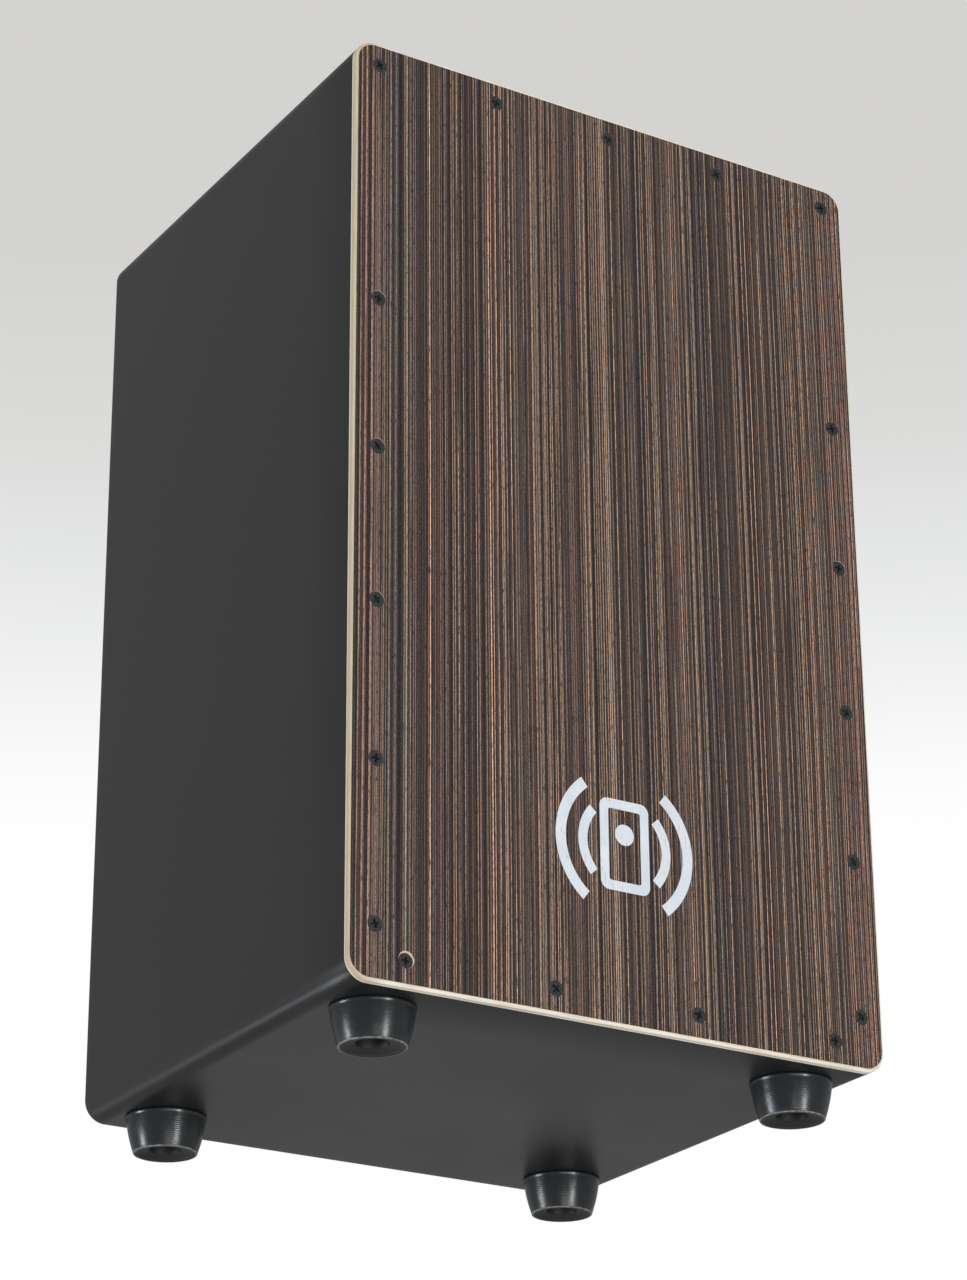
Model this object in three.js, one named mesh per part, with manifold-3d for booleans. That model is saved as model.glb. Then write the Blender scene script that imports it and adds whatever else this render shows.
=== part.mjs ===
// Box drum (cajon): a painted plywood carcass, a veneered striking plate on nineteen
// countersunk screws, four tapered rubber feet, and a hinged snare bar inside.
// Millimetres. Z up, floor at z = 0, the striking plate faces -Y, X is to the
// right as the player's hands meet the plate from in front.
import * as THREE from "three";
import { mergeVertices } from "three/addons/utils/BufferGeometryUtils.js";
import Module from "manifold-3d";

// ---------------------------------------------------------------- dimensions
const WIDTH = 292; // over the side panels
const DEPTH = 264; // veneer face to rear edge
const BODY_H = 480; // carcass height, without the feet
const FOOT_H = 18.5;
const WALL = 8; // side, seat and bottom boards
const CORNER_R = 11; // four long edges of the carcass
const REAR_EASE = 2.5; // eased rear rim of the carcass

const VENEER_T = 0.625;
const CORE_T = 3.875; // three-ply core under the veneer
const PLATE_T = VENEER_T + CORE_T;
const PLATE_EASE = 1.25; // rounded front edge that shows the core

const BATTEN = 16; // width of every batten, measured along its board
const FRONT_BATTEN_D = 20; // front battens, measured along Y
const REAR_BATTEN_D = 16;

const REAR_T = 5; // rear panel
const REAR_INSET = 2; // how far the rear panel sits inside the rim
const HOLE_R = 58; // sound hole
const HOLE_Z = 348.5;

const SCREW_HEAD_R = 3.8;
const SCREW_SHANK_R = 1.65;
const SCREW_SINK = 0.3; // head below the veneer face
const SCREW_LEN = 22;
const SCREW_X = 133; // side columns
const SCREW_COLUMN_Z = [45, 123, 201, 279, 357, 486];
const SCREW_TOP_X = [-66.5, 0, 66.5];
const SCREW_TOP_Z = 486;
const SCREW_BOTTOM_X = [-117, -39, 39, 117];
const SCREW_BOTTOM_Z = 30.75;

const FOOT_TOP_R = 19.75;
const FOOT_BOTTOM_R = 15.75;
const FOOT_BORE_R = 7.7; // counterbore for washer and screw head
const FOOT_BORE_Z = 10; // its floor
const FOOT_X = 114.7;
const FOOT_Y = [-98.75, 103.25];

const HINGE_Y = -94; // snare bar shaft
const HINGE_Z = 444.5;
const SHAFT_R = 4;
const COIL_R = 1.3;
const COIL_PITCH = 6;
const COILS = 10;
const COIL_TOP = 442.5;
const COIL_BOTTOM = 290.5;
const SNARE_X = 55; // centre of each wire set
const WIRE_SCREW_Z = HINGE_Z + 3;
const LEVER_SCREW_Z = HINGE_Z - 6.5;

// ------------------------------------------------------------- derived planes
const X1 = WIDTH / 2,
  XI = X1 - WALL; // 146, 138
const Y0 = -DEPTH / 2,
  Y1 = DEPTH / 2; // -132, 132
const YC = Y0 + VENEER_T, // -131.375, veneer to core
  YB = Y0 + PLATE_T; // -127.5, back of the plate
const Z0 = FOOT_H,
  Z1 = FOOT_H + BODY_H; // 18.5, 498.5
const ZB = Z0 + WALL,
  ZT = Z1 - WALL; // 26.5, 490.5
const XB = XI - BATTEN; // 122

// ------------------------------------------------------------------ materials
const paint = new THREE.MeshStandardMaterial({ color: 0x2b2c2d, roughness: 0.42, metalness: 0 });
const birch = new THREE.MeshStandardMaterial({ color: 0xe2d2b0, roughness: 0.6, metalness: 0 });
const veneer = new THREE.MeshStandardMaterial({ color: 0x5a463f, roughness: 0.5, metalness: 0 });
const pine = new THREE.MeshStandardMaterial({ color: 0xcdb184, roughness: 0.7, metalness: 0 });
const beech = new THREE.MeshStandardMaterial({ color: 0xc79f73, roughness: 0.6, metalness: 0 });
const rubber = new THREE.MeshStandardMaterial({ color: 0x1d2023, roughness: 0.45, metalness: 0 });
const blackScrew = new THREE.MeshStandardMaterial({ color: 0x232624, roughness: 0.45, metalness: 0.6 });
const zinc = new THREE.MeshStandardMaterial({ color: 0xa9abad, roughness: 0.35, metalness: 1 });
const spring = new THREE.MeshStandardMaterial({ color: 0xbfc2c4, roughness: 0.25, metalness: 1 });
const felt = new THREE.MeshStandardMaterial({ color: 0x3b3a38, roughness: 0.95, metalness: 0 });

// -------------------------------------------------------------- solid helpers
const wasm = await Module();
wasm.setup();

// A closed three.js geometry as a solid, whichever way its faces turn.
function solid(geometry) {
  const g = geometry.clone();
  g.deleteAttribute("normal");
  g.deleteAttribute("uv");
  const m = mergeVertices(g, 1e-4);
  const kept = [];
  const idx = m.index.array;
  for (let i = 0; i < idx.length; i += 3) {
    const [a, b, c] = [idx[i], idx[i + 1], idx[i + 2]];
    if (a !== b && b !== c && a !== c) kept.push(a, b, c);
  }
  const make = (tri) =>
    new wasm.Manifold(
      new wasm.Mesh({
        numProp: 3,
        vertProperties: new Float32Array(m.attributes.position.array),
        triVerts: new Uint32Array(tri),
      }),
    );
  const made = make(kept);
  if (made.volume() > 0) return made;
  for (let i = 0; i < kept.length; i += 3)
    [kept[i + 1], kept[i + 2]] = [kept[i + 2], kept[i + 1]];
  return make(kept);
}

function geometryOf(s) {
  const mesh = s.getMesh();
  const n = mesh.numProp;
  const v = new Float32Array(mesh.numVert * 3);
  for (let i = 0; i < mesh.numVert; i++)
    for (let k = 0; k < 3; k++) v[3 * i + k] = mesh.vertProperties[n * i + k];
  const g = new THREE.BufferGeometry()
    .setAttribute("position", new THREE.BufferAttribute(v, 3))
    .setIndex(new THREE.BufferAttribute(new Uint32Array(mesh.triVerts), 1))
    .toNonIndexed();
  g.computeVertexNormals();
  return g;
}

// Axis-aligned block between two corners.
function block(x0, x1, y0, y1, z0, z1) {
  const g = new THREE.BoxGeometry(x1 - x0, y1 - y0, z1 - z0);
  g.translate((x0 + x1) / 2, (y0 + y1) / 2, (z0 + z1) / 2);
  return solid(g);
}

// Rounded rectangle in X and Z, standing on z = z0.
function roundedOutline(width, z0, z1, r) {
  const s = new THREE.Shape();
  const w = width / 2;
  s.moveTo(-w + r, z0);
  s.lineTo(w - r, z0);
  s.absarc(w - r, z0 + r, r, -Math.PI / 2, 0, false);
  s.lineTo(w, z1 - r);
  s.absarc(w - r, z1 - r, r, 0, Math.PI / 2, false);
  s.lineTo(-w + r, z1);
  s.absarc(-w + r, z1 - r, r, Math.PI / 2, Math.PI, false);
  s.lineTo(-w, z0 + r);
  s.absarc(-w + r, z0 + r, r, Math.PI, Math.PI * 1.5, false);
  return s;
}

// Extrudes an X-Z outline along Y from yFront to yRear. A positive ease rounds
// both of its rims by that much.
function slab(outline, yFront, yRear, ease = 0, steps = 3) {
  const g = new THREE.ExtrudeGeometry(outline, {
    depth: yRear - yFront - 2 * ease,
    bevelEnabled: ease > 0,
    bevelThickness: ease,
    bevelSize: ease,
    bevelOffset: -ease,
    bevelSegments: steps,
    curveSegments: 6,
    steps: 1,
  });
  g.rotateX(Math.PI / 2); // extrusion now runs towards -Y
  g.translate(0, yRear - ease, 0);
  return solid(g);
}

// Turned solid about the Y axis from [radius, y] pairs.
function turnedY(profile, segments = 16) {
  return solid(
    new THREE.LatheGeometry(profile.map(([r, y]) => new THREE.Vector2(r, y)), segments),
  );
}
// Same about Z, from [radius, z] pairs.
function turnedZ(profile, segments = 32) {
  const g = new THREE.LatheGeometry(profile.map(([r, z]) => new THREE.Vector2(r, z)), segments);
  g.rotateX(Math.PI / 2);
  return solid(g);
}
// Same about X, from [radius, x] pairs.
function turnedX(profile, segments = 24) {
  const g = new THREE.LatheGeometry(profile.map(([r, x]) => new THREE.Vector2(r, x)), segments);
  g.rotateZ(-Math.PI / 2);
  return solid(g);
}

const root = new THREE.Group();
root.name = "cajon";

function group(name) {
  const g = new THREE.Group();
  g.name = name;
  root.add(g);
  return g;
}
function piece(parent, name, made, material, at = [0, 0, 0]) {
  const mesh = new THREE.Mesh(geometryOf(made), material);
  mesh.name = name;
  mesh.position.set(...at);
  parent.add(mesh);
  return mesh;
}

// -------------------------------------------------------------------- carcass
const carcass = group("carcass");
// The rim rounding is made at both ends and the front one is cut away.
const shell = slab(
  roundedOutline(WIDTH, Z0, Z1, CORNER_R),
  YB - 10,
  Y1,
  REAR_EASE,
).intersect(block(-X1 - 1, X1 + 1, YB, Y1 + 1, Z0 - 1, Z1 + 1));

// Bore for a wood screw, along Y.
const pilotY = (x, z) =>
  turnedY([
    [0, YB - 1],
    [1.85, YB - 1],
    [1.85, Y0 + SCREW_SINK + SCREW_LEN + 0.6],
    [0, Y0 + SCREW_SINK + SCREW_LEN + 0.6],
  ]).translate([x, 0, z]);

piece(carcass, "left_side_panel", shell.intersect(block(-X1 - 1, -XI, YB, Y1 + 1, Z0 - 1, Z1 + 1)), paint);
piece(carcass, "right_side_panel", shell.intersect(block(XI, X1 + 1, YB, Y1 + 1, Z0 - 1, Z1 + 1)), paint);
piece(carcass, "seat_board", shell.intersect(block(-XI, XI, YB, Y1 + 1, ZT, Z1 + 1)), paint);

let bottom = shell.intersect(block(-XI, XI, YB, Y1 + 1, Z0 - 1, ZB));
for (const x of [-FOOT_X, FOOT_X])
  for (const y of FOOT_Y)
    bottom = bottom.subtract(
      turnedZ([[0, Z0 - 1], [2.2, Z0 - 1], [2.2, ZB - 1], [0, ZB - 1]], 16).translate([x, y, 0]),
    );
piece(carcass, "bottom_board", bottom, paint);

const soundHole = turnedY([[0, 100], [HOLE_R, 100], [HOLE_R, 140], [0, 140]], 48).translate([0, 0, HOLE_Z]);
const rearY0 = Y1 - REAR_INSET - REAR_T; // 125
piece(
  carcass,
  "rear_panel",
  block(-XI, XI, rearY0, rearY0 + REAR_T, ZB, ZT).subtract(soundHole),
  paint,
);

// Front battens carry the plate screws.
const fb = YB + FRONT_BATTEN_D; // -107.5
for (const [side, s] of [["left", -1], ["right", 1]]) {
  let b = block(Math.min(s * XB, s * XI), Math.max(s * XB, s * XI), YB, fb, ZB, ZT);
  for (const z of SCREW_COLUMN_Z) b = b.subtract(pilotY(s * SCREW_X, z));
  piece(carcass, "front_batten_" + side, b, pine);
  piece(
    carcass,
    "rear_batten_" + side,
    block(Math.min(s * XB, s * XI), Math.max(s * XB, s * XI), rearY0 - REAR_BATTEN_D, rearY0, ZB, ZT),
    pine,
  );
}
let ft = block(-XB, XB, YB, fb, ZT - BATTEN, ZT);
for (const x of SCREW_TOP_X) ft = ft.subtract(pilotY(x, SCREW_TOP_Z));
piece(carcass, "front_batten_top", ft, pine);
let fbt = block(-XB, XB, YB, fb, ZB, ZB + BATTEN);
for (const x of SCREW_BOTTOM_X) fbt = fbt.subtract(pilotY(x, SCREW_BOTTOM_Z));
piece(carcass, "front_batten_bottom", fbt, pine);
piece(carcass, "rear_batten_top", block(-XB, XB, rearY0 - REAR_BATTEN_D, rearY0, ZT - BATTEN, ZT), pine);
piece(carcass, "rear_batten_bottom", block(-XB, XB, rearY0 - REAR_BATTEN_D, rearY0, ZB, ZB + BATTEN), pine);

// ------------------------------------------------------------- striking plate
const plate = group("striking_plate");
const screwAt = [];
SCREW_COLUMN_Z.forEach((z, i) => {
  screwAt.push(["plate_screw_left_" + (i + 1), -SCREW_X, z]);
  screwAt.push(["plate_screw_right_" + (i + 1), SCREW_X, z]);
});
SCREW_TOP_X.forEach((x, i) => screwAt.push(["plate_screw_top_" + (i + 1), x, SCREW_TOP_Z]));
SCREW_BOTTOM_X.forEach((x, i) => screwAt.push(["plate_screw_bottom_" + (i + 1), x, SCREW_BOTTOM_Z]));

// Countersunk clearance hole, d measured back from the veneer face.
const sinkProfile = [
  [0, Y0 - 1],
  [3.95, Y0 - 1],
  [3.95, Y0 + 0.4],
  [1.8, Y0 + 2.55],
  [1.8, YB + 1],
  [0, YB + 1],
];
const sinks = screwAt.map(([, x, z]) => turnedY(sinkProfile).translate([x, 0, z]));

let core = slab(roundedOutline(WIDTH, Z0, Z1, CORNER_R), YC, YB + 10, PLATE_EASE, 3).intersect(
  block(-X1 - 1, X1 + 1, YC - 1, YB, Z0 - 1, Z1 + 1),
);
const e = PLATE_EASE;
let face = slab(roundedOutline(WIDTH - 2 * e, Z0 + e, Z1 - e, CORNER_R - e), Y0, YC);
for (const c of sinks) {
  core = core.subtract(c);
  face = face.subtract(c);
}
piece(plate, "front_plate_core", core, birch);
piece(plate, "front_plate_veneer", face, veneer);

// Countersunk cross-head wood screw, head towards -Y.
const h = Y0 + SCREW_SINK;
let screw = turnedY([
  [0, h],
  [SCREW_HEAD_R, h],
  [SCREW_HEAD_R, h + 0.15],
  [SCREW_SHANK_R, h + 0.15 + SCREW_HEAD_R - SCREW_SHANK_R],
  [SCREW_SHANK_R, h + SCREW_LEN - 4],
  [0, h + SCREW_LEN],
]);
screw = screw
  .subtract(block(-2.1, 2.1, h - 1, h + 1.5, -0.5, 0.5))
  .subtract(block(-0.5, 0.5, h - 1, h + 1.5, -2.1, 2.1));
for (const [name, x, z] of screwAt) piece(plate, name, screw, blackScrew, [x, 0, z]);

// ----------------------------------------------------------------------- feet
const feet = group("feet");
const foot = turnedZ([
  [2.4, FOOT_BORE_Z],
  [FOOT_BORE_R, FOOT_BORE_Z],
  [FOOT_BORE_R, 2.4],
  [8.3, 1.8],
  [12.8, 0.7],
  [13, 0],
  [15.25, 0],
  [FOOT_BOTTOM_R, 0.5],
  [FOOT_TOP_R, FOOT_H - 1.6],
  [FOOT_TOP_R, FOOT_H - 0.7],
  [FOOT_TOP_R - 0.7, FOOT_H],
  [2.4, FOOT_H],
  [2.4, FOOT_BORE_Z],
], 40);
const washer = turnedZ([[2.4, 8.8], [6.8, 8.8], [6.8, 9.95], [2.4, 9.95], [2.4, 8.8]], 24);
let footScrew = turnedZ([
  [0, 6.2],
  [2.6, 6.3],
  [4, 7.3],
  [4, 8.75],
  [2, 8.75],
  [2, 22.5],
  [0, 25],
], 16);
footScrew = footScrew
  .subtract(block(-2.2, 2.2, -0.5, 0.5, 5, 8))
  .subtract(block(-0.5, 0.5, -2.2, 2.2, 5, 8));
for (const [lr, s] of [["left", -1], ["right", 1]])
  for (const [fr, y] of [["front", FOOT_Y[0]], ["rear", FOOT_Y[1]]]) {
    const at = [s * FOOT_X, y, 0];
    piece(feet, `foot_${fr}_${lr}`, foot, rubber, at);
    piece(feet, `foot_washer_${fr}_${lr}`, washer, zinc, at);
    piece(feet, `foot_screw_${fr}_${lr}`, footScrew, zinc, at);
  }

// --------------------------------------------------------------- snare hanger
const snare = group("snare_mechanism");
// Bearing blocks on the side panels, behind the front battens.
for (const [side, s] of [["left", -1], ["right", 1]]) {
  const b = block(Math.min(s * 124, s * XI), Math.max(s * 124, s * XI), fb, fb + 27, HINGE_Z - 18, HINGE_Z + 18).subtract(
    turnedX([[0, -136], [SHAFT_R + 0.15, -136], [SHAFT_R + 0.15, 136], [0, 136]]).translate([0, HINGE_Y, HINGE_Z]),
  );
  piece(snare, "snare_bearing_block_" + side, b, beech);
  piece(
    snare,
    "snare_friction_washer_" + side,
    turnedX([
      [SHAFT_R + 0.3, 118.25],
      [11, 118.25],
      [11, 123.75],
      [SHAFT_R + 0.3, 123.75],
      [SHAFT_R + 0.3, 118.25],
    ]),
    felt,
    [s > 0 ? 0 : -242, HINGE_Y, HINGE_Z],
  );
}

const barY0 = -123.5,
  barY1 = -86;
let bar = block(-118, 118, barY0, barY1, HINGE_Z - 10, HINGE_Z + 10).subtract(
  turnedX([[0, -130], [SHAFT_R + 0.15, -130], [SHAFT_R + 0.15, 130], [0, 130]]).translate([0, HINGE_Y, HINGE_Z]),
);
// Pilot holes: one screw for each wire set, two for the lever.
for (const x of [-SNARE_X, SNARE_X])
  bar = bar.subtract(
    turnedY([[0, -126], [1.6, -126], [1.6, -112], [0, -112]], 12).translate([x, 0, WIRE_SCREW_Z]),
  );
for (const x of [-5.5, 5.5])
  bar = bar.subtract(
    turnedY([[0, -99], [1.6, -99], [1.6, -84], [0, -84]], 12).translate([x, 0, LEVER_SCREW_Z]),
  );
piece(snare, "snare_bar", bar, beech);
piece(
  snare,
  "snare_shaft",
  turnedX([[0, -134], [SHAFT_R - 0.6, -134], [SHAFT_R, -133.4], [SHAFT_R, 133.4], [SHAFT_R - 0.6, 134], [0, 134]]),
  zinc,
  [0, HINGE_Y, HINGE_Z],
);

// One wire set: an end strip with its coils soldered on, hanging free below.
const coilY = YB + 0.5 + COIL_R; // coils stand just clear of the plate
for (const [side, cx] of [["left", -SNARE_X], ["right", SNARE_X]]) {
  let set = block(cx - 30, cx + 30, barY0 - 1.25, barY0, HINGE_Z - 8, HINGE_Z + 6);
  for (let i = 0; i < COILS; i++) {
    const x = cx + (i - (COILS - 1) / 2) * COIL_PITCH;
    set = set.add(
      turnedZ([[0, COIL_BOTTOM], [COIL_R, COIL_BOTTOM], [COIL_R, COIL_TOP], [0, COIL_TOP]], 8).translate([x, coilY, 0]),
    );
  }
  set = set.subtract(
    turnedY([[0, -128], [1.7, -128], [1.7, -120], [0, -120]], 12).translate([cx, 0, WIRE_SCREW_Z]),
  );
  piece(snare, "snare_wires_" + side, set, spring);
  piece(
    snare,
    "snare_wire_screw_" + side,
    turnedY(
      [[0, -125.95], [1.9, -125.9], [2.5, -125.4], [2.5, -124.8], [1.4, -124.8], [1.4, -115], [0, -112.6]],
      12,
    ),
    zinc,
    [cx, 0, WIRE_SCREW_Z],
  );
}

// Thumb lever on the back of the bar, reached through the sound hole.
const lever = block(-11, 11, barY1, barY1 + 2.5, HINGE_Z - 10, HINGE_Z + 10)
  .add(block(-11, 11, barY1, barY1 + 48, HINGE_Z + 7.5, HINGE_Z + 10))
  .subtract(turnedY([[0, -90], [1.7, -90], [1.7, -80], [0, -80]], 12).translate([-5.5, 0, LEVER_SCREW_Z]))
  .subtract(turnedY([[0, -90], [1.7, -90], [1.7, -80], [0, -80]], 12).translate([5.5, 0, LEVER_SCREW_Z]));
piece(snare, "snare_lever", lever, zinc);
const grip = block(-13.5, 13.5, barY1 + 28, barY1 + 51, HINGE_Z + 4.5, HINGE_Z + 13).subtract(
  block(-11.3, 11.3, barY1 + 20, barY1 + 48.3, HINGE_Z + 7.2, HINGE_Z + 10.3),
);
piece(snare, "snare_lever_grip", grip, rubber);
for (const [side, x] of [["left", -5.5], ["right", 5.5]])
  piece(
    snare,
    "snare_lever_screw_" + side,
    turnedY(
      [[0, -81.9], [2, -81.95], [2.7, -82.5], [2.7, -83.4], [1.4, -83.4], [1.4, -95.5], [0, -98.4]],
      12,
    ),
    zinc,
    [x, 0, LEVER_SCREW_Z],
  );

export default root;
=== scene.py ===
import math
import random

import bmesh
import bpy
from mathutils import Matrix, Vector


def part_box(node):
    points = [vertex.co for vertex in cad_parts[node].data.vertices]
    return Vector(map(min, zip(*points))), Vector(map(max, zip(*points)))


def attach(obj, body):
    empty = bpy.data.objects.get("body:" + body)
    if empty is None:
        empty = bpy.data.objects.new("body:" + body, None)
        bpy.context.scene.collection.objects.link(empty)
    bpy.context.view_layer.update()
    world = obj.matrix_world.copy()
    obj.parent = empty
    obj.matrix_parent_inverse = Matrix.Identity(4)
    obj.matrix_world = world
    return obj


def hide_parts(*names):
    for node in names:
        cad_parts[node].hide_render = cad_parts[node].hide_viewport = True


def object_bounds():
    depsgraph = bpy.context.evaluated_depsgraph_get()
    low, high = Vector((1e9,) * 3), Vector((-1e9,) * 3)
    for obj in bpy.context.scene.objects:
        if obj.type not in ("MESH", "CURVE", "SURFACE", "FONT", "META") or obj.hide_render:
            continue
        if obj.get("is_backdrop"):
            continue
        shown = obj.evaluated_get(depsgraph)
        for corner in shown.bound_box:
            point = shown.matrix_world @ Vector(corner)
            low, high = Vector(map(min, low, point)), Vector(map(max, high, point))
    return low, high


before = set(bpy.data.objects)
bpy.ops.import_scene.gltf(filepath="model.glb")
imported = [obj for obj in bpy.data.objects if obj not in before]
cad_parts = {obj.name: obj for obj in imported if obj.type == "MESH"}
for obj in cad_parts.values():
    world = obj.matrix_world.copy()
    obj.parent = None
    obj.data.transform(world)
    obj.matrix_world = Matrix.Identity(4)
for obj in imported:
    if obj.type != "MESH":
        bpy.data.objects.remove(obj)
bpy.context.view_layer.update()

CASE = "case"
SNARE = "snare_hanger"
MM = 0.001

# Everything is placed from the CAD boxes, in millimetres here.
def mmbox(node):
    lo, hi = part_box(node)
    return [v * 1000 for v in lo], [v * 1000 for v in hi]


core_lo, core_hi = mmbox("front_plate_core")
ven_lo, ven_hi = mmbox("front_plate_veneer")
side_lo, side_hi = mmbox("left_side_panel")
seat_lo, seat_hi = mmbox("seat_board")
bot_lo, bot_hi = mmbox("bottom_board")
rear_lo, rear_hi = mmbox("rear_panel")

X1 = core_hi[0]  # half width
XI = seat_hi[0]  # inner face of the sides
Z0, Z1 = core_lo[2], core_hi[2]
ZB, ZT = bot_hi[2], seat_lo[2]
Y0 = ven_lo[1]  # veneer face
YC = core_lo[1]  # veneer to core
YB = core_hi[1]  # back of the plate
Y1 = side_hi[1]
FOOT = Z0  # height of the feet
CORNER = 11.0
EASE = 1.25


# ------------------------------------------------------------------ mesh tools
def finish_piece(name, mesh, materials, body=CASE, nodes=(), angle=35.0):
    for m in materials:
        mesh.materials.append(m)
    for p in mesh.polygons:
        p.use_smooth = True
    mesh.set_sharp_from_angle(angle=math.radians(angle))
    o = bpy.data.objects.new(name, mesh)
    bpy.context.scene.collection.objects.link(o)
    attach(o, body)
    if nodes:
        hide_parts(*nodes)
    return o


def to_mesh(bm, name):
    bmesh.ops.remove_doubles(bm, verts=bm.verts, dist=1e-6)
    bmesh.ops.recalc_face_normals(bm, faces=bm.faces)
    me = bpy.data.meshes.new(name)
    bm.to_mesh(me)
    bm.free()
    return me


def loft(bm, rings, cap=True, closed=False):
    """Skins closed loops of (x, y, z) in millimetres, one after another."""
    loops = [[bm.verts.new(Vector(p) * MM) for p in r] for r in rings]
    n = len(loops[0])
    pairs = list(zip(loops, loops[1:]))
    if closed:
        pairs.append((loops[-1], loops[0]))
    for a, b in pairs:
        for i in range(n):
            j = (i + 1) % n
            bm.faces.new((a[i], a[j], b[j], b[i]))
    if cap and not closed:
        bm.faces.new(list(reversed(loops[0])))
        bm.faces.new(loops[-1])
    return loops


def turned(bm, profile, segments, axis="z", centre=(0, 0, 0), phase=0.0):
    """Revolves (radius, height) pairs in millimetres. Zero radii close on the axis."""
    c = Vector(centre)
    loops = []
    for r, h in profile:
        pts = []
        count = 1 if r < 1e-6 else segments
        for k in range(count):
            a = phase + 2 * math.pi * k / segments
            u, v = r * math.cos(a), r * math.sin(a)
            p = {"z": (u, v, h), "y": (u, h, v), "x": (h, u, v)}[axis]
            pts.append(bm.verts.new((c + Vector(p)) * MM))
        loops.append(pts)
    for a, b in zip(loops, loops[1:]):
        if len(a) == 1 and len(b) == 1:
            continue
        for i in range(segments):
            j = (i + 1) % segments
            if len(a) == 1:
                bm.faces.new((a[0], b[j], b[i]))
            elif len(b) == 1:
                bm.faces.new((a[i], a[j], b[0]))
            else:
                bm.faces.new((a[i], a[j], b[j], b[i]))
    return loops


def arc(cx, cz, r, a0, a1, n):
    return [
        (cx + r * math.cos(a0 + (a1 - a0) * k / n), cz + r * math.sin(a0 + (a1 - a0) * k / n))
        for k in range(n + 1)
    ]


def rounded(inset, n=14):
    """Outline of the drum's front, pulled in by inset, as (x, z) pairs."""
    r = CORNER - inset
    w, lo, hi = X1 - CORNER, Z0 + CORNER, Z1 - CORNER
    q = math.pi / 2
    return (
        arc(w, lo, r, -q, 0, n)
        + arc(w, hi, r, 0, q, n)
        + arc(-w, hi, r, q, 2 * q, n)
        + arc(-w, lo, r, 2 * q, 3 * q, n)
    )


def sanded(inset, n=14):
    """The plate's outline with its front edge sanded back unevenly: little at the
    foot of the left edge, most along the bottom. inset is the nominal amount."""
    pts = []
    k = inset / EASE
    right, low, top = 1.60 * k, 1.75 * k, 1.85 * k
    cx, lo, hi = X1 - CORNER, Z0 + CORNER, Z1 - CORNER
    for x, z in rounded(0.0, n):
        left = (0.75 if z < (lo + hi) / 2 else 1.45) * k
        # Unit normal of the outline at this point.
        nx = (x - math.copysign(cx, x)) / CORNER if abs(x) > cx - 1e-6 else 0.0
        nz = (z - hi) / CORNER if z > hi - 1e-6 else ((z - lo) / CORNER if z < lo + 1e-6 else 0.0)
        h = math.hypot(nx, nz) or 1.0
        nx, nz = nx / h, nz / h
        d = nx * nx * (left if x < 0 else right) + nz * nz * (low if nz < 0 else top)
        pts.append((x - nx * d, z - nz * d))
    return pts


def quarter(steps):
    return [math.pi / 2 * k / steps for k in range(steps + 1)]


def applied(o):
    """The object's mesh with its modifiers applied, as a new mesh."""
    dg = bpy.context.evaluated_depsgraph_get()
    return bpy.data.meshes.new_from_object(o.evaluated_get(dg))


def loose(name, mesh):
    o = bpy.data.objects.new(name, mesh)
    bpy.context.scene.collection.objects.link(o)
    return o


def cut(mesh, cutter_mesh, name):
    """mesh minus cutter_mesh, by Blender's exact boolean."""
    a, b = loose(name + "_a", mesh), loose(name + "_b", cutter_mesh)
    m = a.modifiers.new("cut", "BOOLEAN")
    m.operation, m.solver, m.object = "DIFFERENCE", "EXACT", b
    out = applied(a)
    for o in (a, b):
        bpy.data.objects.remove(o)
    out.name = name
    return out


# -------------------------------------------------------------- material tools
def srgb(r, g, b, a=1.0):
    def f(c):
        c /= 255.0
        return c / 12.92 if c <= 0.04045 else ((c + 0.055) / 1.055) ** 2.4

    return (f(r), f(g), f(b), a)


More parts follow.
